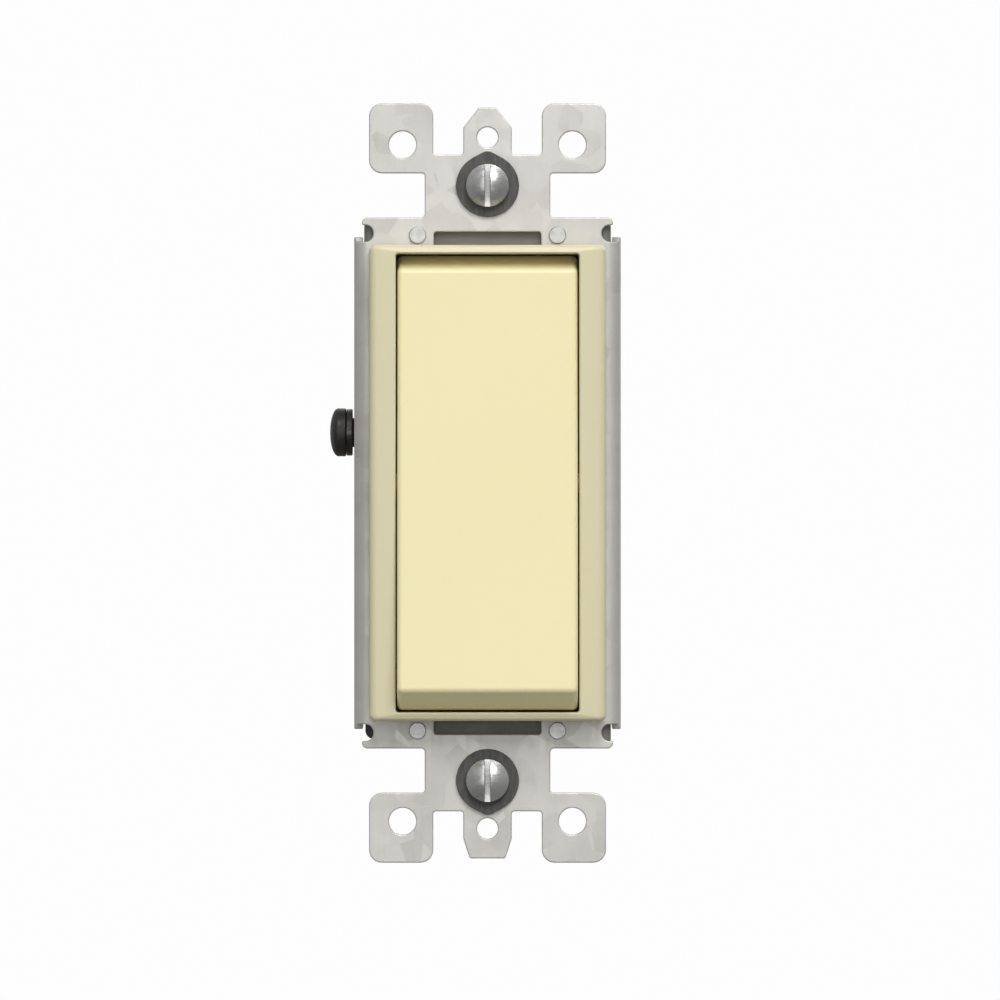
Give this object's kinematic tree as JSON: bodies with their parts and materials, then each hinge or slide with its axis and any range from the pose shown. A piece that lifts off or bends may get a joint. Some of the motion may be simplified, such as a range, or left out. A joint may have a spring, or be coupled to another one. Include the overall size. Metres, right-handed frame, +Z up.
{
  "type": "rocker light switch",
  "caption": "Wall-box rocker light switch: broad ivory paddle in a slim frame on a steel mounting strap, with screw and push-in terminals behind.",
  "frame": {"origin": "midway between the two box screws, in the plane of the strap's back face, which is the front plane of the wall box", "axes": "+X to the right seen from the front, +Y back into the wall box along the box screws, +Z up along the strap"},
  "size_m": [0.041, 0.0374, 0.1064],
  "materials": {
    "galvanised_steel": "galvanised sheet, satin with a faint spangle",
    "rivet_steel": "plain steel, satin",
    "bezel_plastic": "moulded ivory plastic, soft gloss",
    "paddle_plastic": "moulded ivory plastic, soft gloss",
    "plunger_nylon": "natural nylon",
    "spring_steel": "drawn spring steel",
    "bumper_rubber": "matte rubber",
    "contact_brass": "stamped brass",
    "contact_silver": "silver alloy, satin",
    "terminal_brass": "stamped brass",
    "black_screw": "black oxide",
    "brass_screw": "brass plated steel",
    "green_screw": "green dyed plating",
    "zinc_screw": "zinc plated steel",
    "retainer_fibre": "dark vulcanised fibre",
    "housing_plastic": "moulded thermoset, dull",
    "cover_plastic": "moulded thermoset, dull"
  },
  "bodies": {
    "switch_body": {"strap": "galvanised_steel", "strap_rivets": "rivet_steel", "bezel": "bezel_plastic", "travel_bumpers": "bumper_rubber", "fulcrum_pin": "rivet_steel", "common_terminal": "terminal_brass", "traveller_terminal_upper": "terminal_brass", "traveller_terminal_lower": "terminal_brass", "fixed_contacts": "contact_silver", "common_screw": "black_screw", "traveller_screw_upper": "brass_screw", "traveller_screw_lower": "brass_screw", "ground_screw": "green_screw", "mounting_screw_upper": "zinc_screw", "mounting_screw_lower": "zinc_screw", "screw_retainer_upper": "retainer_fibre", "screw_retainer_lower": "retainer_fibre", "housing_base": "housing_plastic", "housing_cover": "cover_plastic", "push_in_spring_common": "spring_steel", "push_in_spring_upper": "spring_steel", "push_in_spring_lower": "spring_steel"},
    "rocker": {"rocker_paddle": "paddle_plastic", "plunger_spring": "spring_steel"},
    "plunger": {"plunger": "plunger_nylon"},
    "contact_arm": {"contact_arm": "contact_brass", "moving_contacts": "contact_silver"}
  },
  "joints": [
    {"name": "rocker_tilt", "type": "hinge", "parent": "switch_body", "child": "rocker", "pos_m": [0, -0.0033, 0], "axis": [1, 0, 0], "range_deg": [0, 8]},
    {"name": "contact_tilt", "type": "hinge", "parent": "switch_body", "child": "contact_arm", "pos_m": [0, 0.01568, 0], "axis": [1, 0, 0], "range_deg": [-12, 0]},
    {"name": "plunger_slide", "type": "slide", "parent": "rocker", "child": "plunger", "axis": [0, -0.9976, 0.0698], "range_m": [0, 0.0012], "stiffness_N_per_m": 600, "springref_m": -0.0025, "deforming": ["plunger_spring"]}
  ],
  "couplings": [
    {"joint": "contact_tilt", "follows": "rocker_tilt", "ratio": -1.5}
  ]
}
